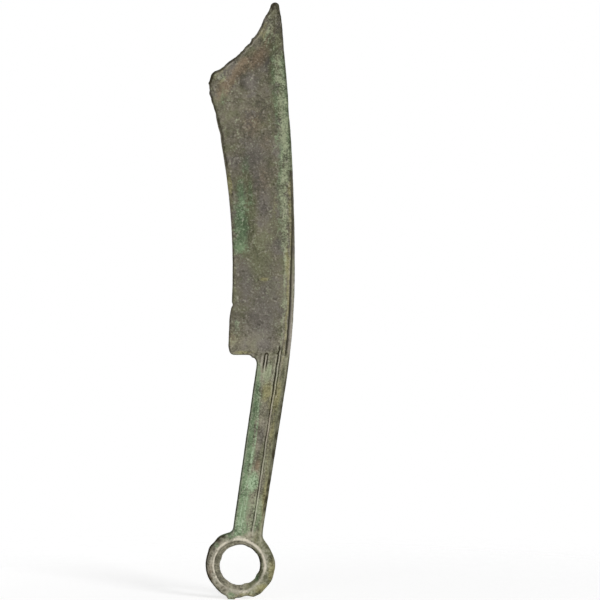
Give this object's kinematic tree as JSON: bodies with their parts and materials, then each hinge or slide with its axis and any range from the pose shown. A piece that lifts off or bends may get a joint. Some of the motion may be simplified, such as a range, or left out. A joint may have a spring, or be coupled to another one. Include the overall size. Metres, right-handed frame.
{
  "type": "knife coin",
  "caption": "Cast bronze coin in the shape of a knife: bowed blade with a pointed tip and raised back rims, ribbed leaning handle, and a ring for stringing it on a cord.",
  "frame": {"origin": "centre of the ring's hole, half way through its thickness", "axes": "+Z from the ring towards the tip, +X from the cutting edge towards the back, +Y out of the reverse face"},
  "size_m": [0.0242, 0.0024, 0.1615],
  "materials": {
    "blade_bronze": "cast bronze with a grey-brown patina and green patches",
    "handle_bronze": "cast bronze with a green and olive patina",
    "ring_bronze": "cast bronze with a worn tan patina"
  },
  "bodies": {
    "root": {"blade": "blade_bronze", "back_rim_obverse": "blade_bronze", "back_rim_reverse": "blade_bronze", "handle": "handle_bronze", "handle_ribs_obverse": "handle_bronze", "handle_ribs_reverse": "handle_bronze", "ring": "ring_bronze", "casting_stub": "ring_bronze"}
  },
  "joints": []
}
